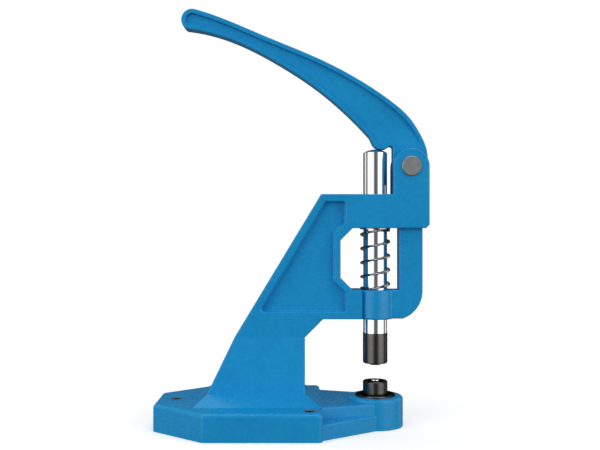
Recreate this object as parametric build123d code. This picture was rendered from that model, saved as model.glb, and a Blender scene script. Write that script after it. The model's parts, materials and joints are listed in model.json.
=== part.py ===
from build123d import *
import math
import os

# Hand press for eyelets and snaps: cast C-frame, cam lever, sprung ram and a die set.
# Millimetres. Origin: ram axis on the bench plane. +X to the front, +Z up, lever handle to the rear.

# ---- ram and its guides ----
RAM_D = 16.0
RAM_FIT = 0.05
RAM_BOTTOM = 62.1
RAM_TOP = 185.2
RAM_CROWN = 2.4
DIE_STUD_D = 8.0
DIE_STUD_LEN = 12.0
TAP_RUNOUT = 1.0

# ---- base plate ----
BASE_T = 17.8
BASE_REAR_X = -146.3
BASE_REAR_HALF = 19.1
BASE_WIDE_X = -111.3
BASE_HALF = 47.9
BASE_FRONT_X = -36.5
BASE_EDGE_R = 3.0
TOP_EDGE_R = 2.5

# ---- nose in front of the base, carrying the die boss ----
NOSE_PLATE_T = 10.2
NOSE_PLATE_HALF = 43.4
NOSE_BEAM_HALF = 30.0
NOSE_END_HALF = 17.8
NOSE_EDGE_R = 1.2
BOSS_R = 18.5
BOSS_TOP = 20.0
BOSS_FILLET = 2.0

# ---- fixing holes ----
FIX_HOLE_D = 6.5
FIX_SINK_D = 8.1
REAR_HOLE_X = -133.8
FRONT_HOLE_X = -44.7
FRONT_HOLE_Y = 38.5

# ---- plinth and column ----
PLINTH_TOP = 23.9
PLINTH_FOOT = (-119.4, -36.5, 30.0)
PLINTH_HEAD = (-111.4, -47.3, 16.4)
COLUMN_TOP = 60.0
COLUMN_HEAD = (-94.0, -47.3, 11.0)

# ---- C-frame ----
FRAME_HALF = 11.0
WEB_HALF = 7.0
PILLAR_HALF = 7.0
FRAME_TOP = 154.9
FRAME_BACK_TOP_X = -36.6
ARM_BOTTOM = 72.0
ARM_ROOT_X = -35.4
HEAD_X = 35.2
HEAD_UNDER = 132.3
HEAD_CHAMFER = 2.4
PILLAR_X = 31.1
JAW_ARC_X = 11.4
JAW_ARC_Z = 90.6
WINDOW_REAR = -23.7
WINDOW_FRONT = 15.4
WINDOW_SILL = 91.2
WINDOW_CHAMFER = 8.0
GUIDE_R = 12.2
GUIDE_BOTTOM = 71.6
THICK_ARM_END = -9.4
FRAME_EDGE_R = 0.9
BLEND_R = 1.5
PANEL_CORNER_R = 1.5
PANEL_OUTLINE = [
    (-33.8, 149.9), (-20.7, 149.9), (-20.7, 135.7), (-27.9, 129.8),
    (-27.9, 96.9), (-20.0, 89.3), (-20.0, 77.2), (-77.4, 77.2)]
PAST = 1.0
RING_BORE_D = 18.8
RING_BORE_DEPTH = 2.0

# ---- ears and pivot ----
EAR_REAR = 11.2
EAR_R = 12.0
PIVOT_X = HEAD_X - EAR_R
PIVOT_Z = 173.4
SLOT_HALF = 5.5
PIN_D = 10.0
PIN_HEAD_D = 13.2
PIN_HEAD_T = 1.5
PIN_END_Y = 14.6
PIN_HEAD_CHAMFER = 0.6
PIN_END_CHAMFER = 0.8
CLIP_GROOVE_D = 8.0
PIN_WASHER_D = 16.0
PIN_WASHER_T = 1.2
PIN_CLIP_D = 12.6
PIN_CLIP_T = 1.0
PIN_CLIP_MOUTH = 6.4
PIN_CLIP_GAP = 0.2
PIN_CLIP_PAD = (2.6, 2.2)
PIN_CLIP_ANGLES = (-28, 90, 208)

# ---- lever ----
LEVER_HALF = 5.3
LEVER_WEB_HALF = 3.4
LEVER_FIT = 0.05
NOSE_R = 6.9
NOSE_X = 4.0
NOSE_GAP = 0.02
LEVER_BACK = [
    (-100.9, 0, 272.0), (-76.9, 0, 261.9), (-32.9, 0, 243.2), (-8.9, 0, 230.2),
    (11.1, 0, 216.6), (23.4, 0, 205.1), (31.5, 0, 191.8)]
LEVER_BELLY = [(-16.2, 0, 205.4), (-40.7, 0, 226.4), (-65.2, 0, 242.4), (-89.7, 0, 255.2)]
LEVER_CREST = (-120.9, 0, 278.7)
LEVER_TIP = (-130.0, 0, 271.2)
LEVER_HEEL = (-126.2, 0, 265.3)
LEVER_CHEEK = (-4.0, 0, 192.6)
HEEL_R = 2.0
CHEEK_R = 3.0
NOSE_START_ANGLE = 205
NOTCH_R = 1.7
HUB_R = 11.8
LEVER_RIM = 3.0
LEVER_EDGE_R = 0.9
RUNOUT_LOW = 187.0
RUNOUT_TOP = 199.0

# ---- spring set on the ram ----
SPRING_OD = 20.4
SPRING_WIRE = 1.6
SPRING_PITCH = 9.5
SPRING_START_ANGLE = 248
SPRING_WASHER_D = 20.4
SPRING_WASHER_T = 0.8
SNAP_WIRE = 1.6
SNAP_GROOVE_D = 14.4
SNAP_GAP = 3.0

# ---- dies ----
DIE_D = 16.5
UPPER_DIE_FACE = 41.8
TIP_ROOT_D = 8.8
TIP_END_D = 7.0
TIP_LEN = 1.2
TIP_BORE_D = 5.9
TIP_BORE_DEPTH = 3.2
DIE_CHAMFER = 0.5
LOWER_DIE_TOP = 29.8
CUP_D = 9.2
CUP_DEPTH = 1.6
SHANK_D = 12.0
SHANK_BOTTOM = 4.0
SEAT_FLANGE_D = 26.5
SEAT_TOP = 21.2
SEAT_BARREL_D = 17.0
SEAT_DISH = 0.5
SEAT_RIM = 2.2
SEAT_CHAMFER = 0.6
SEAT_DISH_GAP = 0.6
SOCKET_BOTTOM = 3.5

# ---- sprung pilot in the lower die ----
PILOT_D = 5.5
PILOT_FIT = 0.05
PILOT_TOP = 30.9
PILOT_BORE_D = 8.0
PILOT_STEP_Z = 24.0
PILOT_STEP_GAP = 0.02
PILOT_CROWN_R = 0.9
PILOT_COLLAR_T = 2.0
PILOT_SPIGOT_D = 4.4
PILOT_SPIGOT_LEN = 4.0
PILOT_SPRING_OD = 7.2
PILOT_SPRING_WIRE = 0.7
PILOT_SPRING_PITCH = 2.6
PLUG_T = 3.0
PLUG_SLOT_W = 1.2
PLUG_SLOT_DEPTH = 1.0

# ---- lock screw ----
LOCK_D = 6.0
LOCK_Z = 12.0
LOCK_SOCKET = 3.0
LOCK_OUTER_X = 18.0
LOCK_SOCKET_DEPTH = 3.0
LOCK_CHAMFER = 0.5


def prism_y(points, half):
    """A flat plate standing in the XZ plane, centred on Y, from (x, z) points."""
    face = make_face(Polyline([(x, 0, z) for x, z in points], close=True))
    return extrude(face, amount=half, dir=(0, 1, 0), both=True)


def disc_y(x, z, radius, y_low, y_high):
    """A round bar along Y."""
    plane = Plane(origin=(x, y_low, z), x_dir=(1, 0, 0), z_dir=(0, 1, 0))
    return extrude(plane * Circle(radius), amount=y_high - y_low)


def disc_z(radius, z_low, z_high, x=0.0, y=0.0):
    """A round bar along Z."""
    return Pos(x, y, z_low) * extrude(Circle(radius), amount=z_high - z_low)


def cone_z(r_low, r_high, z_low, z_high, x=0.0, y=0.0):
    """A tapered round bar along Z."""
    return Pos(x, y, (z_low + z_high) / 2) * Cone(r_low, r_high, z_high - z_low)


def block(x_low, x_high, half_y, z_low, z_high):
    """A box centred on Y."""
    mid = Pos((x_low + x_high) / 2, 0, (z_low + z_high) / 2)
    return mid * Box(x_high - x_low, 2 * half_y, z_high - z_low)


def plan(points, z_low, z_high):
    """A plate lying flat, symmetrical about Y, from the (x, y) points of its +Y side."""
    mirrored = [(x, -y) for x, y in reversed(points) if y > 0]
    outline = make_face(Polyline(points + mirrored, close=True))
    return Pos(0, 0, z_low) * extrude(outline, amount=z_high - z_low)


def hipped(low, z_low, high, z_high):
    """A block between two rectangles, each (x from, x to, half width), with its corners rounded."""
    faces = []
    for (x_a, x_b, half), z in ((low, z_low), (high, z_high)):
        faces.append(Pos((x_a + x_b) / 2, 0, z) * Rectangle(x_b - x_a, 2 * half))
    body = loft(Sketch() + faces, ruled=True)
    corners = body.edges().filter_by(lambda e: abs((e @ 0).Z - (e @ 1).Z) > 1)
    return fillet(corners, FRAME_EDGE_R)


def upright_edges(shape):
    """The edges of a plate that stand along Z."""
    return shape.edges().filter_by(Axis.Z)


def base_plate():
    side = [(BASE_REAR_X, BASE_REAR_HALF), (BASE_WIDE_X, BASE_HALF), (BASE_FRONT_X, BASE_HALF)]
    plate = plan(side, 0, BASE_T)
    plate = fillet(upright_edges(plate), BASE_EDGE_R)
    return fillet(plate.edges().group_by(Axis.Z)[-1], TOP_EDGE_R)


def nose_layer(half, top):
    """One storey of the nose: straight sides that run into the die boss."""
    inside = BASE_FRONT_X - BASE_EDGE_R
    side = [(inside, half), (BASE_FRONT_X, half), (0, NOSE_END_HALF)]
    layer = plan(side, 0, top)
    upper = layer.edges().group_by(Axis.Z)[-1].filter_by(lambda e: abs(e.tangent_at(0.5).Y) < 0.9)
    return fillet(upper, NOSE_EDGE_R)


def die_boss():
    boss = disc_z(BOSS_R, 0, BOSS_TOP)
    return fillet(boss.edges().group_by(Axis.Z)[-1], BOSS_FILLET)


def c_frame():
    """Column sides, head, jaw and pillar, with the window, the recessed panels and the ears."""
    corner_x = JAW_ARC_X + math.sqrt((PILLAR_X - JAW_ARC_X) ** 2 - (JAW_ARC_Z - ARM_BOTTOM) ** 2)
    rear_x, front_x, half = COLUMN_HEAD
    body = prism_y([
        (rear_x, COLUMN_TOP), (FRAME_BACK_TOP_X, FRAME_TOP), (HEAD_X, FRAME_TOP),
        (HEAD_X, HEAD_UNDER + HEAD_CHAMFER), (HEAD_X - HEAD_CHAMFER, HEAD_UNDER),
        (THICK_ARM_END, HEAD_UNDER), (THICK_ARM_END, ARM_BOTTOM),
        (ARM_ROOT_X, ARM_BOTTOM), (front_x, COLUMN_TOP)], FRAME_HALF)
    jaw_block = prism_y([
        (THICK_ARM_END - PAST, ARM_BOTTOM), (corner_x, ARM_BOTTOM), (PILLAR_X, JAW_ARC_Z),
        (PILLAR_X, HEAD_UNDER + PAST), (THICK_ARM_END - PAST, HEAD_UNDER + PAST)], PILLAR_HALF)
    jaw_round = disc_y(JAW_ARC_X, JAW_ARC_Z, PILLAR_X - JAW_ARC_X, -PILLAR_HALF, PILLAR_HALF)
    jaw_round &= block(JAW_ARC_X, PILLAR_X + PAST, FRAME_HALF, ARM_BOTTOM, FRAME_TOP)
    body = body + jaw_block + jaw_round + ram_guide() + ears() - window() - side_panels()
    return fillet(body.edges().filter_by(is_rounded), FRAME_EDGE_R)


def is_rounded(edge):
    """Whether an edge of the C-frame is an outer one that the casting has rounded."""
    start, end, middle = edge @ 0, edge @ 1, edge.center()
    if middle.Z <= COLUMN_TOP or start.Y * end.Y < 0:
        return False
    if not same(start.Y, end.Y):
        return same(start.Z, end.Z) and (same(start.Z, WINDOW_SILL) or same(start.Z, ARM_BOTTOM))
    if same(start.X, end.X) and abs(start.X) < GUIDE_R + BLEND_R and middle.Z < WINDOW_SILL:
        return False
    on_pillar = same(abs(start.Y), PILLAR_HALF) and middle.Z < HEAD_UNDER - PAST
    return on_pillar or same(abs(start.Y), FRAME_HALF)


def same(first, second):
    return abs(first - second) < 0.01


def ram_guide():
    """The lower bearing of the ram: a round boss between the arm and the jaw."""
    outline = Circle(GUIDE_R) + strip(0, WINDOW_FRONT - PAST, PILLAR_HALF)
    for side in (-1, 1):
        meeting = (math.sqrt(GUIDE_R ** 2 - PILLAR_HALF ** 2), side * PILLAR_HALF, 0)
        outline = fillet(outline.vertices().sort_by_distance(meeting)[:1], BLEND_R)
    return Pos(0, 0, ARM_BOTTOM) * extrude(outline, amount=WINDOW_SILL - ARM_BOTTOM)


def strip(x_low, x_high, half_y):
    """A rectangle in plan, centred on Y."""
    return Pos((x_low + x_high) / 2, 0) * Rectangle(x_high - x_low, 2 * half_y)


def window():
    low = WINDOW_SILL
    high = HEAD_UNDER
    cut = WINDOW_CHAMFER
    return prism_y([
        (WINDOW_REAR, low + cut), (WINDOW_REAR + cut, low), (WINDOW_FRONT, low),
        (WINDOW_FRONT, high), (WINDOW_REAR + cut, high), (WINDOW_REAR, high - cut)], 2 * FRAME_HALF)


def side_panels():
    """The recess on each side of the C-frame, which follows its outline inside a rim."""
    panel = prism_y(PANEL_OUTLINE, FRAME_HALF + PAST)
    panel = fillet(panel.edges().filter_by(Axis.Y), PANEL_CORNER_R)
    return panel - block(COLUMN_HEAD[0], 0, WEB_HALF, COLUMN_TOP, FRAME_TOP)


def ears():
    """Two rounded cheeks that hold the pivot pin, with the lever's slot between them."""
    cheek = disc_y(PIVOT_X, PIVOT_Z, EAR_R, -FRAME_HALF, FRAME_HALF)
    cheek += block(EAR_REAR, HEAD_X, FRAME_HALF, FRAME_TOP - PAST, PIVOT_Z)
    slot = block(EAR_REAR - PAST, HEAD_X + PAST, SLOT_HALF, FRAME_TOP, PIVOT_Z + EAR_R + PAST)
    return cheek - slot


def fixing_hole(x, y):
    sink = (FIX_SINK_D - FIX_HOLE_D) / 2
    hole = disc_z(FIX_HOLE_D / 2, -PAST, BASE_T + PAST, x, y)
    return hole + cone_z(FIX_HOLE_D / 2, FIX_SINK_D / 2 + sink, BASE_T - sink, BASE_T + sink, x, y)


def frame_casting():
    body = base_plate() + nose_layer(NOSE_PLATE_HALF, NOSE_PLATE_T) + nose_layer(NOSE_BEAM_HALF, BASE_T)
    body += die_boss()
    body += hipped(PLINTH_FOOT, BASE_T, PLINTH_HEAD, PLINTH_TOP)
    body += hipped(PLINTH_HEAD, PLINTH_TOP, COLUMN_HEAD, COLUMN_TOP)
    body += c_frame()
    body += disc_z(GUIDE_R - FRAME_EDGE_R, GUIDE_BOTTOM, ARM_BOTTOM + PAST)
    body -= disc_z(RAM_D / 2 + RAM_FIT, GUIDE_BOTTOM - PAST, FRAME_TOP + PAST)
    body -= disc_z(RING_BORE_D / 2, HEAD_UNDER - PAST, HEAD_UNDER + RING_BORE_DEPTH)
    body -= disc_y(PIVOT_X, PIVOT_Z, PIN_D / 2, -FRAME_HALF - PAST, FRAME_HALF + PAST)
    body -= disc_z(SEAT_BARREL_D / 2, SOCKET_BOTTOM, BOSS_TOP + PAST)
    body -= Pos(0, 0, LOCK_Z) * Rot(0, 90, 0) * extrude(Circle(LOCK_D / 2), amount=BOSS_R + PAST)
    body -= fixing_hole(REAR_HOLE_X, 0)
    for side in (-1, 1):
        body -= fixing_hole(FRONT_HOLE_X, side * FRONT_HOLE_Y)
    return body


def crown_radius():
    """Radius of the ball that the top of the ram is turned to."""
    half = RAM_D / 2
    return (half ** 2 + RAM_CROWN ** 2) / (2 * RAM_CROWN)


def nose_centre_z():
    """Height of the cam nose's centre that just touches the crowned top of the ram."""
    ball = crown_radius()
    reach = ball + NOSE_R + NOSE_GAP
    return RAM_TOP - ball + math.sqrt(reach ** 2 - NOSE_X ** 2)


def lever_edges():
    """The lever's side view, as named edges in order round its outline."""
    right = PIVOT_X + HUB_R
    left = PIVOT_X - HUB_R
    end = ThreePointArc(LEVER_HEEL, LEVER_TIP, LEVER_CREST)
    back = Spline([LEVER_CREST, *LEVER_BACK, (right, 0, PIVOT_Z)], tangents=[end % 1, (0, 0, -1)])
    hub = ThreePointArc((right, 0, PIVOT_Z), (PIVOT_X, 0, PIVOT_Z - HUB_R), (left, 0, PIVOT_Z))
    nose_z = nose_centre_z()
    across = left - NOTCH_R - NOSE_X
    reach = NOSE_R + NOTCH_R
    notch_z = nose_z - math.sqrt(reach ** 2 - across ** 2)
    touch = (NOSE_X + across * NOSE_R / reach, 0, nose_z + (notch_z - nose_z) * NOSE_R / reach)
    hub_side = Line((left, 0, PIVOT_Z), (left, 0, notch_z))
    notch = TangentArc((left, 0, notch_z), touch, tangent=(0, 0, 1))
    turn = math.radians(NOSE_START_ANGLE)
    start = (NOSE_X + NOSE_R * math.cos(turn), 0, nose_z + NOSE_R * math.sin(turn))
    nose = ThreePointArc(touch, (NOSE_X, 0, nose_z - NOSE_R), start)
    cheek = Line(start, LEVER_CHEEK)
    belly = Spline([LEVER_CHEEK, *LEVER_BELLY, LEVER_HEEL])
    return {"back": back, "hub": hub, "hub_side": hub_side, "notch": notch, "nose": nose,
            "cheek": cheek, "belly": belly, "end": end}


def inset(edge, share):
    """A point LEVER_RIM inside the lever's outline, at a share of the way along one of its edges."""
    along = edge % share
    return edge @ share + Vector(along.Z, 0, -along.X) * LEVER_RIM


def side_edges(body, half):
    """The edges round the two flat sides of a plate that stands in the XZ plane."""
    return body.edges().filter_by(lambda e: same((e @ 0).Y, (e @ 1).Y) and same(abs(e.center().Y), half))


def soften_corner(body, corner, radius):
    """Rounds the edge of a plate that runs along Y through a corner of its outline."""
    return fillet(body.edges().filter_by(Axis.Y).sort_by_distance(corner)[:1], radius)


def lever_recess():
    """The panel sunk in each side of the lever, which runs out towards the hub."""
    edges = lever_edges()
    tip = ThreePointArc(inset(edges["end"], 0.15), inset(edges["end"], 0.6), inset(edges["end"], 1))
    top = Spline([inset(edges["back"], share) for share in (0, 0.12, 0.25, 0.4, 0.55, 0.7, 0.8, 0.92)])
    nose_low = inset(edges["nose"], 0.5)
    foot = Line(top @ 1, nose_low)
    nose = ThreePointArc(nose_low, inset(edges["nose"], 0.75), inset(edges["nose"], 1))
    under = [inset(edges["belly"], share) for share in (0.06, 0.2, 0.35, 0.5, 0.65, 0.8, 0.93)]
    low = Spline([nose @ 1, *under, tip @ 0])
    outside = LEVER_HALF + PAST
    panel = extrude(make_face(Wire([tip, top, foot, nose, low])), amount=outside, dir=(0, 1, 0), both=True)
    slope = (LEVER_HALF - LEVER_WEB_HALF) / (RUNOUT_TOP - RUNOUT_LOW)
    start = RUNOUT_LOW - PAST / slope
    floor, ceiling = PIVOT_Z - HUB_R, LEVER_CREST[2] + PAST
    kept = [(-outside, start), (-LEVER_WEB_HALF, RUNOUT_TOP), (-LEVER_WEB_HALF, ceiling),
            (LEVER_WEB_HALF, ceiling), (LEVER_WEB_HALF, RUNOUT_TOP), (outside, start),
            (outside, floor), (-outside, floor)]
    core = make_face(Polyline([(LEVER_TIP[0], y, z) for y, z in kept], close=True))
    return panel - extrude(core, amount=HEAD_X - LEVER_TIP[0], dir=(1, 0, 0))


def lever():
    outline = make_face(Wire(list(lever_edges().values())))
    body = extrude(outline, amount=LEVER_HALF, dir=(0, 1, 0), both=True)
    body = soften_corner(body, LEVER_HEEL, HEEL_R)
    body = soften_corner(body, LEVER_CHEEK, CHEEK_R)
    body = fillet(side_edges(body, LEVER_HALF), LEVER_EDGE_R)
    body -= lever_recess()
    body -= disc_y(PIVOT_X, PIVOT_Z, PIN_D / 2 + LEVER_FIT, -LEVER_HALF - PAST, LEVER_HALF + PAST)
    return body


def pivot_pin():
    pin = disc_y(PIVOT_X, PIVOT_Z, PIN_D / 2, -FRAME_HALF, PIN_END_Y)
    pin = chamfer(pin.edges().group_by(Axis.Y)[-1], PIN_END_CHAMFER)
    head = disc_y(PIVOT_X, PIVOT_Z, PIN_HEAD_D / 2, -FRAME_HALF - PIN_HEAD_T, -FRAME_HALF)
    head = chamfer(head.edges().group_by(Axis.Y)[0], PIN_HEAD_CHAMFER)
    groove_y = FRAME_HALF + PIN_WASHER_T
    groove = disc_y(PIVOT_X, PIVOT_Z, PIN_D, groove_y, groove_y + PIN_CLIP_T)
    groove -= disc_y(PIVOT_X, PIVOT_Z, CLIP_GROOVE_D / 2, groove_y, groove_y + PIN_CLIP_T)
    return pin + head - groove


def pivot_washer():
    washer = disc_y(PIVOT_X, PIVOT_Z, PIN_WASHER_D / 2, FRAME_HALF, FRAME_HALF + PIN_WASHER_T)
    return washer - disc_y(PIVOT_X, PIVOT_Z, PIN_D / 2, FRAME_HALF, FRAME_HALF + PIN_WASHER_T)


def pivot_clip():
    """An E-shaped clip pushed into the pin's groove from below."""
    low = FRAME_HALF + PIN_WASHER_T
    high = low + PIN_CLIP_T
    clip = disc_y(PIVOT_X, PIVOT_Z, PIN_CLIP_D / 2, low, high)
    clip -= disc_y(PIVOT_X, PIVOT_Z, PIN_D / 2 + PIN_CLIP_GAP, low, high)
    middle = Pos(PIVOT_X, (low + high) / 2, PIVOT_Z)
    clip -= middle * Pos(0, 0, -PIN_CLIP_D / 2) * Box(PIN_CLIP_MOUTH, PIN_CLIP_T, PIN_CLIP_D)
    pad_long, pad_wide = PIN_CLIP_PAD
    for angle in PIN_CLIP_ANGLES:
        clip += middle * Rot(0, -angle, 0) * Pos(PIN_D / 2, 0, 0) * Box(pad_long, PIN_CLIP_T, pad_wide)
    return clip - disc_y(PIVOT_X, PIVOT_Z, CLIP_GROOVE_D / 2, low, high)


def snap_ring_z():
    return HEAD_UNDER + SNAP_WIRE / 2


def ram():
    body = disc_z(RAM_D / 2, RAM_BOTTOM, RAM_TOP)
    ball = crown_radius()
    body &= Pos(0, 0, RAM_TOP - ball) * Sphere(ball) + disc_z(RAM_D, RAM_BOTTOM, RAM_TOP - RAM_CROWN)
    body -= disc_z(DIE_STUD_D / 2, RAM_BOTTOM, RAM_BOTTOM + DIE_STUD_LEN + TAP_RUNOUT)
    body -= Pos(0, 0, snap_ring_z()) * Torus(SNAP_GROOVE_D / 2 + SNAP_WIRE / 2, SNAP_WIRE / 2)
    return body


def ram_snap_ring():
    """Round-wire ring in the ram's groove, with a gap at the back."""
    ring = Pos(0, 0, snap_ring_z()) * Torus(SNAP_GROOVE_D / 2 + SNAP_WIRE / 2, SNAP_WIRE / 2)
    return ring - Pos(0, SNAP_GROOVE_D / 2, snap_ring_z()) * Box(SNAP_GAP, SNAP_GROOVE_D / 2, 2 * SNAP_WIRE)


def spring_washer():
    low = HEAD_UNDER - SPRING_WASHER_T
    return disc_z(SPRING_WASHER_D / 2, low, HEAD_UNDER) - disc_z(RAM_D / 2, low, HEAD_UNDER)


def coil(outer, wire, pitch, low, high):
    """A right-hand spring between two heights, starting from +X."""
    radius = (outer - wire) / 2
    path = Pos(0, 0, low + wire / 2) * Helix(pitch, high - low - wire, radius)
    section = Plane(origin=path @ 0, z_dir=path % 0) * Circle(wire / 2)
    return sweep(section, path, is_frenet=True)


def return_spring():
    turn = Rot(0, 0, SPRING_START_ANGLE)
    return turn * coil(SPRING_OD, SPRING_WIRE, SPRING_PITCH, WINDOW_SILL, HEAD_UNDER - SPRING_WASHER_T)


def upper_die():
    tip_end = UPPER_DIE_FACE - TIP_LEN
    body = disc_z(DIE_D / 2, UPPER_DIE_FACE, RAM_BOTTOM)
    body = chamfer(body.edges().group_by(Axis.Z)[0], DIE_CHAMFER)
    body += disc_z(DIE_STUD_D / 2, RAM_BOTTOM, RAM_BOTTOM + DIE_STUD_LEN)
    body += cone_z(TIP_END_D / 2, TIP_ROOT_D / 2, tip_end, UPPER_DIE_FACE)
    return body - disc_z(TIP_BORE_D / 2, tip_end - PAST, tip_end + TIP_BORE_DEPTH)


def lower_die():
    body = disc_z(DIE_D / 2, SEAT_TOP, LOWER_DIE_TOP)
    body = chamfer(body.edges().group_by(Axis.Z)[-1], DIE_CHAMFER)
    body += disc_z(SHANK_D / 2, SHANK_BOTTOM, SEAT_TOP)
    body -= disc_z(CUP_D / 2, LOWER_DIE_TOP - CUP_DEPTH, LOWER_DIE_TOP + PAST)
    body -= disc_z(PILOT_D / 2 + PILOT_FIT, PILOT_STEP_Z - PAST, LOWER_DIE_TOP)
    return body - disc_z(PILOT_BORE_D / 2, SHANK_BOTTOM - PAST, PILOT_STEP_Z)


def die_seat_bush():
    """Flanged bush pressed into the boss, dished round the foot of the lower die."""
    flange = disc_z(SEAT_FLANGE_D / 2, BOSS_TOP, SEAT_TOP)
    flange = chamfer(flange.edges().group_by(Axis.Z)[-1], SEAT_CHAMFER)
    dish_floor = SEAT_TOP - SEAT_DISH
    dish = disc_z(SEAT_FLANGE_D / 2 - SEAT_RIM, dish_floor, SEAT_TOP + PAST)
    flange -= dish - disc_z(DIE_D / 2 + SEAT_DISH_GAP, dish_floor, SEAT_TOP + PAST)
    body = flange + disc_z(SEAT_BARREL_D / 2, SOCKET_BOTTOM, BOSS_TOP)
    body -= disc_z(SHANK_D / 2, SOCKET_BOTTOM - PAST, SEAT_TOP + PAST)
    return body - Pos(0, 0, LOCK_Z) * Rot(0, 90, 0) * extrude(Circle(LOCK_D / 2), amount=BOSS_R)


def pilot_collar_top():
    return PILOT_STEP_Z - PILOT_STEP_GAP


def pilot_pin():
    collar_low = pilot_collar_top() - PILOT_COLLAR_T
    pin = disc_z(PILOT_D / 2, collar_low, PILOT_TOP)
    pin = fillet(pin.edges().group_by(Axis.Z)[-1], PILOT_CROWN_R)
    pin += disc_z(PILOT_BORE_D / 2 - PILOT_FIT, collar_low, pilot_collar_top())
    return pin + disc_z(PILOT_SPIGOT_D / 2, collar_low - PILOT_SPIGOT_LEN, collar_low)


def pilot_spring():
    top = pilot_collar_top() - PILOT_COLLAR_T
    return coil(PILOT_SPRING_OD, PILOT_SPRING_WIRE, PILOT_SPRING_PITCH, SHANK_BOTTOM + PLUG_T, top)


def pilot_plug():
    """Slotted plug that closes the lower die's bore and carries the pilot spring."""
    plug = disc_z(PILOT_BORE_D / 2, SHANK_BOTTOM, SHANK_BOTTOM + PLUG_T)
    slot_top = SHANK_BOTTOM + PLUG_SLOT_DEPTH
    return plug - block(-PILOT_BORE_D, PILOT_BORE_D, PLUG_SLOT_W / 2, SHANK_BOTTOM - PAST, slot_top)


def die_lock_screw():
    """Grub screw with a hexagon socket, bearing on the lower die's shank."""
    start = SHANK_D / 2
    screw = Pos(start, 0, LOCK_Z) * Rot(0, 90, 0) * extrude(Circle(LOCK_D / 2), amount=LOCK_OUTER_X - start)
    screw = chamfer(screw.edges().group_by(Axis.X)[-1], LOCK_CHAMFER)
    socket = extrude(RegularPolygon(LOCK_SOCKET / 2, 6, major_radius=False), amount=LOCK_SOCKET_DEPTH + PAST)
    return screw - Pos(LOCK_OUTER_X - LOCK_SOCKET_DEPTH, 0, LOCK_Z) * Rot(0, 90, 0) * socket


PIECES = {
    "frame_casting": frame_casting,
    "lever": lever,
    "pivot_pin": pivot_pin,
    "pivot_washer": pivot_washer,
    "pivot_clip": pivot_clip,
    "ram": ram,
    "ram_snap_ring": ram_snap_ring,
    "spring_washer": spring_washer,
    "return_spring": return_spring,
    "upper_die": upper_die,
    "lower_die": lower_die,
    "die_seat_bush": die_seat_bush,
    "pilot_pin": pilot_pin,
    "pilot_spring": pilot_spring,
    "pilot_plug": pilot_plug,
    "die_lock_screw": die_lock_screw,
}

os.makedirs("parts", exist_ok=True)
for name, make in PIECES.items():
    export_step(make(), f"parts/{name}.step")
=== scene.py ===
import json
import math

import bmesh
import bpy
from mathutils import Matrix, Vector


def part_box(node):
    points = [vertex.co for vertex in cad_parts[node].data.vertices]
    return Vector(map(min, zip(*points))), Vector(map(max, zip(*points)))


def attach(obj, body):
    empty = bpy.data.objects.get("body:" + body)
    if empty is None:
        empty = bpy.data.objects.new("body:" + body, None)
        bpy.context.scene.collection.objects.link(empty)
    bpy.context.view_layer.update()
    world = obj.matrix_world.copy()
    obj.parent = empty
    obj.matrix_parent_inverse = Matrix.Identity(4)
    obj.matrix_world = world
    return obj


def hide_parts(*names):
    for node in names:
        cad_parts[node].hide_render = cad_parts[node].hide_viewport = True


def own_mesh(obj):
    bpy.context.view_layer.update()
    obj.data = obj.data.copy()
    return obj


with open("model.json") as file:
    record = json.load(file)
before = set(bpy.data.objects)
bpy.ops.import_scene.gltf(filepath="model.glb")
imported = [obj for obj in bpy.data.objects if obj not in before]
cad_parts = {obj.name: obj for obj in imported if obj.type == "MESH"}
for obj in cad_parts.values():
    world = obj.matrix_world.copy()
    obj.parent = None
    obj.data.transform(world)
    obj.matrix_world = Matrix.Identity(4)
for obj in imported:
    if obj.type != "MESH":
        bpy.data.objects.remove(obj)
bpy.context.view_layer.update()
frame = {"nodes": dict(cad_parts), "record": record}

# ---- camera, in metres, with the lens and sensor in millimetres ----
EYE = Vector((-0.0506, -0.5612, 0.1344))
LENS = 50.0
SENSOR = 36.0

# ---- studio: how bright each part of the tent is ----
SOFT_BOX = 2.2
BOX_EDGE = 0.85
SIDE = 1.0
DARK_SIDE = 0.05
GAP = 0.13
BEHIND = 0.08
OVERHEAD = 0.24
LAMP = 1.7
BELOW = 0.2
WHITE = 1.03

# ---- studio: where the parts are, in degrees off the gap's middle and in sines of the elevation ----
GAP_TURN = 1.5
TENT = (
    (180, BEHIND), (132, BEHIND), (120, SIDE), (106, SIDE), (99, DARK_SIDE), (90, DARK_SIDE),
    (84, BOX_EDGE), (62, SOFT_BOX), (32, SOFT_BOX), (12, GAP), (0, GAP))
BOX_TOP = (0.45, 0.7)
BOX_FOOT = (-0.15, -0.26)
CEILING = ((0.84, OVERHEAD), (0.88, LAMP), (0.96, LAMP), (0.99, OVERHEAD))
FLOOR_REACH = 6.0
FLOOR_GLOW = 0.35

# ---- springs, in metres ----
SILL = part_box("return_spring")[0][2]
RETURN_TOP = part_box("return_spring")[1][2]
RETURN_RADIUS = (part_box("return_spring")[1][0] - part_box("return_spring")[0][0]) / 2
RETURN_WIRE = 0.0016
RETURN_PITCH = 0.0095
RETURN_START = 248
RETURN_STEP = 10
PILOT_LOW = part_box("pilot_spring")[0][2]
PILOT_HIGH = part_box("pilot_spring")[1][2]
PILOT_RADIUS = (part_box("pilot_spring")[1][0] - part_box("pilot_spring")[0][0]) / 2
PILOT_WIRE = 0.0007
PILOT_PITCH = 0.0026
PILOT_START = 0
PILOT_STEP = 15
CLOSED_LOW = 190
CLOSED_HIGH = 150
WIRE_SIDES = 14
RAM_TRAVEL = 0.0117
PILOT_TRAVEL = 0.002

# ---- colours, linear ----
PAINT = (0.0075, 0.322, 0.690, 1)
PAINT_DEEP = (0.0060, 0.285, 0.640, 1)
PAINT_LIGHT = (0.0120, 0.350, 0.740, 1)
# hole colours: bare metal painted darker as painted shade; the bore's near-black is painted shade inside
# the hole
SINK_BARE_AND_SHADE = (0.09, 0.15, 0.20, 1)
BORE_BARE_AND_SHADE = (0.012, 0.014, 0.016, 1)
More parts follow.
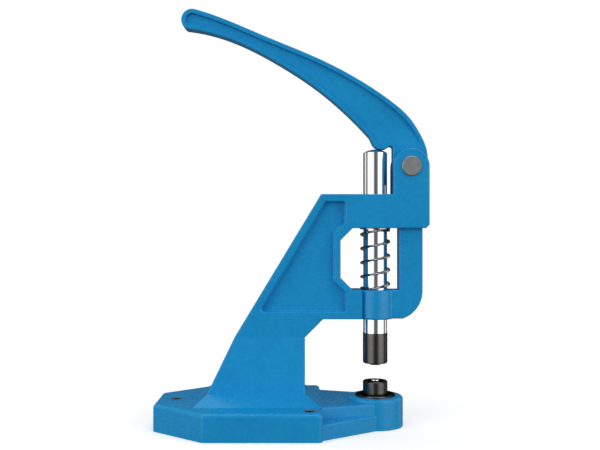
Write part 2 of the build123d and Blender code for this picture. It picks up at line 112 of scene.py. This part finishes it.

# ---- drilled fixing holes: radii of the bare metal darkened with painted shade, in metres ----
SINK_REACH = 0.0041
BORE_REACH = 0.0033


# ---------------------------------------------------------------- materials
class Nodes:
    """A short way to wire a material's nodes."""

    def __init__(self, name):
        self.material = bpy.data.materials.new(name)
        self.material.use_nodes = True
        self.tree = self.material.node_tree
        self.shader = self.tree.nodes["Principled BSDF"]
        self.place = self.tree.nodes.new("ShaderNodeTexCoord").outputs["Object"]

    def add(self, kind, **settings):
        node = self.tree.nodes.new(kind)
        for key, value in settings.items():
            if key in node.inputs:
                node.inputs[key].default_value = value
            else:
                setattr(node, key, value)
        return node

    def link(self, out, target):
        self.tree.links.new(out, target)

    def noise(self, scale, detail=4.0, roughness=0.5, place=None):
        node = self.add("ShaderNodeTexNoise", Scale=scale, Detail=detail, Roughness=roughness)
        self.link(place or self.place, node.inputs["Vector"])
        return node.outputs["Fac"]

    def span(self, value, low, high, to_low, to_high):
        node = self.add("ShaderNodeMapRange")
        node.inputs["From Min"].default_value = low
        node.inputs["From Max"].default_value = high
        node.inputs["To Min"].default_value = to_low
        node.inputs["To Max"].default_value = to_high
        self.link(value, node.inputs["Value"])
        return node.outputs["Result"]

    def ramp(self, value, stops):
        node = self.add("ShaderNodeValToRGB")
        shade(node.color_ramp, stops)
        self.link(value, node.inputs["Fac"])
        return node.outputs["Color"]

    def stretch(self, x, y, z):
        node = self.add("ShaderNodeMapping")
        node.inputs["Scale"].default_value = (x, y, z)
        self.link(self.place, node.inputs["Vector"])
        return node.outputs["Vector"]

    def mix(self, share, first, second):
        node = self.add("ShaderNodeMix", data_type="RGBA")
        if isinstance(share, float):
            node.inputs["Factor"].default_value = share
        else:
            self.link(share, node.inputs["Factor"])
        for socket, value in ((node.inputs[6], first), (node.inputs[7], second)):
            if isinstance(value, tuple):
                socket.default_value = value
            else:
                self.link(value, socket)
        return node.outputs[2]

    def vector(self, operation, first, second=None):
        node = self.add("ShaderNodeVectorMath", operation=operation)
        self.link(first, node.inputs[0])
        if second:
            node.inputs[1].default_value = second
        return node

    def within(self, x, y, reach):
        """1 inside an upright bar of radius reach about (x, y), 0 outside."""
        flat = self.vector("MULTIPLY", self.place, (1, 1, 0)).outputs["Vector"]
        node = self.add("ShaderNodeMath", operation="LESS_THAN")
        self.link(self.vector("DISTANCE", flat, (x, y, 0)).outputs["Value"], node.inputs[0])
        node.inputs[1].default_value = reach
        return node.outputs["Value"]

    def bump(self, heights):
        """Chains bump nodes from (height, strength, distance)."""
        normal = None
        for height, strength, distance in heights:
            node = self.add("ShaderNodeBump", Strength=strength, Distance=distance)
            self.link(height, node.inputs["Height"])
            if normal:
                self.link(normal, node.inputs["Normal"])
            normal = node.outputs["Normal"]
        self.link(normal, self.shader.inputs["Normal"])

    def set(self, **values):
        for key, value in values.items():
            self.shader.inputs[key.replace("_", " ")].default_value = value


def shade(ramp, stops):
    """Fills a colour ramp from (place, colour) pairs."""
    while len(ramp.elements) < len(stops):
        ramp.elements.new(0.5)
    for mark, (place, colour) in zip(ramp.elements, stops):
        mark.position = place
        mark.color = colour


def grey(level):
    return (level, level, level, 1)


def drilled_holes():
    """Where the fixing holes go through the base, as (x, y), from the record's mounts."""
    mounts = {mount["name"]: mount for mount in frame["record"]["mounts"]}
    rear = mounts["rear_fixing_hole"]["pos_m"]
    front = mounts["front_fixing_holes"]["pos_m"]
    half = mounts["front_fixing_holes"]["dims"]["spacing_y_mm"] / 2000
    return [(rear[0], rear[1]), (front[0], front[1] + half), (front[0], front[1] - half)]


def blue_paint(name, drilled=()):
    """Satin paint over a sand-cast surface, with bare metal in the drilled holes, painted darker as
    painted shade: near-black down the bore.
    """
    n = Nodes(name)
    mottle = n.noise(230.0, 5.0, 0.6)
    blotch = n.noise(34.0, 3.0, 0.5)
    spots = n.ramp(mottle, [(0.3, PAINT_DEEP), (0.5, PAINT), (0.72, PAINT_LIGHT)])
    wash = n.ramp(blotch, [(0.32, PAINT_DEEP), (0.68, PAINT_LIGHT)])
    colour = n.mix(0.45, spots, wash)
    # painted shade: countersink and bore are bare metal painted darker, near-black down the bore, for the
    # shade inside the holes
    for x, y in drilled:
        colour = n.mix(n.within(x, y, SINK_REACH), colour, SINK_BARE_AND_SHADE)
        colour = n.mix(n.within(x, y, BORE_REACH), colour, BORE_BARE_AND_SHADE)
    n.link(colour, n.shader.inputs["Base Color"])
    n.link(n.span(n.noise(420.0, 4.0), 0.3, 0.7, 0.24, 0.32), n.shader.inputs["Roughness"])
    grain = n.noise(1100.0, 4.0, 0.6)
    sand = n.noise(330.0, 3.0, 0.5)
    n.bump([(sand, 0.02, 0.0004), (grain, 0.04, 0.0002)])
    n.set(Specular_IOR_Level=0.3)
    return n.material


def bright_steel(name, colour, rough_low, rough_high):
    """Ground and plated round bar: very fine rings round the axis."""
    n = Nodes(name)
    n.set(Metallic=1.0)
    smear = n.noise(60.0, 3.0)
    tint = tuple(c * 0.94 for c in colour[:3]) + (1,)
    n.link(n.ramp(smear, [(0.3, tint), (0.7, colour)]), n.shader.inputs["Base Color"])
    rings = n.noise(1.0, 2.0, 0.5, n.stretch(200, 200, 9000))
    n.link(n.span(rings, 0.3, 0.7, rough_low, rough_high), n.shader.inputs["Roughness"])
    n.bump([(rings, 0.02, 0.00005)])
    return n.material


def black_oxide(name):
    """Chemically blacked tool steel with a thin film of oil."""
    n = Nodes(name)
    n.set(Metallic=1.0)
    cloud = n.noise(150.0, 4.0, 0.6)
    n.link(n.ramp(cloud, [(0.3, (0.085, 0.084, 0.083, 1)), (0.75, (0.115, 0.112, 0.108, 1))]),
           n.shader.inputs["Base Color"])
    rings = n.noise(1.0, 2.0, 0.5, n.stretch(150, 150, 7000))
    n.link(n.span(rings, 0.3, 0.7, 0.2, 0.28), n.shader.inputs["Roughness"])
    n.bump([(rings, 0.05, 0.0001), (cloud, 0.03, 0.0001)])
    n.set(Specular_Tint=(0.25, 0.25, 0.25, 1))
    return n.material


def pin_steel(name):
    """Turned bar, faced on the end."""
    n = Nodes(name)
    n.set(Metallic=1.0)
    cloud = n.noise(260.0, 4.0)
    n.link(n.ramp(cloud, [(0.3, (0.33, 0.355, 0.365, 1)), (0.7, (0.40, 0.425, 0.435, 1))]),
           n.shader.inputs["Base Color"])
    n.link(n.span(n.noise(500.0, 3.0), 0.3, 0.7, 0.42, 0.52), n.shader.inputs["Roughness"])
    n.bump([(n.noise(1500.0, 3.0), 0.08, 0.0001)])
    return n.material


def spring_wire(name):
    """Drawn wire: fine lengthwise lines under a thin film of oil."""
    n = Nodes(name)
    n.set(Metallic=1.0)
    drawn = n.noise(400.0, 3.0)
    n.link(n.ramp(drawn, [(0.3, (0.24, 0.24, 0.245, 1)), (0.7, (0.36, 0.36, 0.365, 1))]),
           n.shader.inputs["Base Color"])
    n.link(n.span(drawn, 0.3, 0.7, 0.18, 0.28), n.shader.inputs["Roughness"])
    n.bump([(n.noise(1.0, 2.0, 0.5, n.stretch(900, 900, 6000)), 0.04, 0.00005)])
    return n.material


FINISHES = {
    "blue_casting": blue_paint("blue_casting_paint", drilled_holes()),
    "blue_lever": blue_paint("blue_lever_paint"),
    "ram_chrome": bright_steel("chromed_bar", (0.86, 0.87, 0.88, 1), 0.09, 0.13),
    "die_black": black_oxide("black_oxide_steel"),
    "pin_steel": pin_steel("turned_pin_steel"),
    "spring_steel": spring_wire("drawn_spring_wire"),
}


def finish_cad_parts():
    for part in frame["record"]["subparts"]:
        mesh = frame["nodes"][part["node"]].data
        mesh.materials.clear()
        mesh.materials.append(FINISHES[part["material_slot"]])


# ---------------------------------------------------------------- springs
def coil(name, radius, wire, low, high, pitch, start, step):
    """A compression spring wound round Z, with a flat stretch of turn at each end.

    A wire section is turned a step at a time, and rises between the flat stretches.
    """
    bm = bmesh.new()
    section = bmesh.ops.create_circle(bm, segments=WIRE_SIDES, radius=wire / 2, cap_ends=True)
    stand = Matrix.Rotation(math.radians(90), 4, "X")
    bmesh.ops.transform(bm, matrix=stand, verts=section["verts"])
    bmesh.ops.translate(bm, vec=(radius - wire / 2, 0, low + wire / 2), verts=section["verts"])
    bmesh.ops.rotate(bm, cent=(0, 0, 0), matrix=Matrix.Rotation(math.radians(start - CLOSED_LOW), 3, "Z"),
                     verts=section["verts"])
    rise = high - low - wire
    active = round(rise / pitch * 360 / step)
    climbs = [0.0] * (CLOSED_LOW // step) + [rise / active] * active + [0.0] * (CLOSED_HIGH // step)
    end = list(bm.faces)
    for climb in climbs:
        turned = bmesh.ops.spin(bm, geom=end, cent=(0, 0, 0), axis=(0, 0, 1), dvec=(0, 0, climb),
                                angle=math.radians(step), steps=1)
        end = [item for item in turned["geom_last"] if isinstance(item, bmesh.types.BMFace)]
    bmesh.ops.remove_doubles(bm, verts=bm.verts, dist=wire / 1000)
    bmesh.ops.recalc_face_normals(bm, faces=bm.faces)
    for face in bm.faces:
        face.smooth = len(face.verts) == 4
    mesh = bpy.data.meshes.new(name)
    bm.to_mesh(mesh)
    bm.free()
    mesh.materials.append(FINISHES["spring_steel"])
    piece = bpy.data.objects.new(name, mesh)
    bpy.context.scene.collection.objects.link(piece)
    return piece


def springs():
    rings = (
        ("return_spring", "ram_slide", RAM_TRAVEL,
         coil("wound_return_spring", RETURN_RADIUS, RETURN_WIRE, SILL, RETURN_TOP,
              RETURN_PITCH, RETURN_START, RETURN_STEP)),
        ("pilot_spring", "pilot_slide", PILOT_TRAVEL,
         coil("wound_pilot_spring", PILOT_RADIUS, PILOT_WIRE, PILOT_LOW, PILOT_HIGH,
              PILOT_PITCH, PILOT_START, PILOT_STEP)),
    )
    for node, joint, travel, piece in rings:
        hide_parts(node)
        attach(piece, "frame")
        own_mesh(piece)


# ---------------------------------------------------------------- room
def plain(name, colour, roughness, glow):
    material = bpy.data.materials.new(name)
    material.use_nodes = True
    shader = material.node_tree.nodes["Principled BSDF"]
    shader.inputs["Base Color"].default_value = colour
    shader.inputs["Roughness"].default_value = roughness
    shader.inputs["Specular IOR Level"].default_value = 0.0
    shader.inputs["Emission Color"].default_value = grey(1.0)
    shader.inputs["Emission Strength"].default_value = glow
    return material


def floor():
    mesh = bpy.data.meshes.new("floor")
    bm = bmesh.new()
    bmesh.ops.create_grid(bm, x_segments=1, y_segments=1, size=FLOOR_REACH)
    bm.to_mesh(mesh)
    bm.free()
    mesh.materials.append(plain("pale_floor", grey(0.95), 0.8, FLOOR_GLOW))
    piece = bpy.data.objects.new("floor", mesh)
    piece.visible_diffuse = False
    piece.visible_glossy = False
    bpy.context.scene.collection.objects.link(piece)


class Sky(Nodes):
    """The same short way, for the world's nodes."""

    def __init__(self, world):
        world.use_nodes = True
        self.tree = world.node_tree
        self.light = self.tree.nodes["Background"]
        self.place = self.tree.nodes.new("ShaderNodeTexCoord").outputs["Generated"]


def studio():
    """A tent: two tall soft boxes ahead of the press with a dark gap between them, and a lamp overhead."""
    world = bpy.data.worlds.new("studio")
    bpy.context.scene.world = world
    n = Sky(world)
    level = n.vector("NORMALIZE", n.vector("MULTIPLY", n.place, (1, 1, 0)).outputs["Vector"])
    ahead = Vector((math.sin(math.radians(GAP_TURN)), -math.cos(math.radians(GAP_TURN)), 0))
    facing = n.vector("DOT_PRODUCT", level.outputs["Vector"], ahead).outputs["Value"]
    walls = n.ramp(n.span(facing, -1, 1, 0, 1),
                   [((math.cos(math.radians(turn)) + 1) / 2, grey(glow)) for turn, glow in TENT])
    height = n.add("ShaderNodeSeparateXYZ")
    n.link(n.place, height.inputs["Vector"])
    rise = height.outputs["Z"]
    ceiling = n.ramp(rise, [(up, grey(glow)) for up, glow in CEILING])
    raised = n.mix(n.span(rise, *BOX_TOP, 0, 1), walls, ceiling)
    lit = n.mix(n.span(rise, *BOX_FOOT, 0, 1), raised, grey(BELOW))
    seen = n.add("ShaderNodeLightPath").outputs["Is Camera Ray"]
    n.link(n.mix(seen, lit, grey(WHITE)), n.light.inputs["Color"])
    bpy.context.scene.view_settings.view_transform = "Standard"


def camera():
    lens = bpy.data.cameras.new("camera")
    lens.lens = LENS
    lens.sensor_width = SENSOR
    holder = bpy.data.objects.new("camera", lens)
    holder.location = EYE
    holder.rotation_euler = (math.radians(90), 0, 0)
    bpy.context.scene.collection.objects.link(holder)
    bpy.context.scene.camera = holder


finish_cad_parts()
springs()
floor()
studio()
camera()
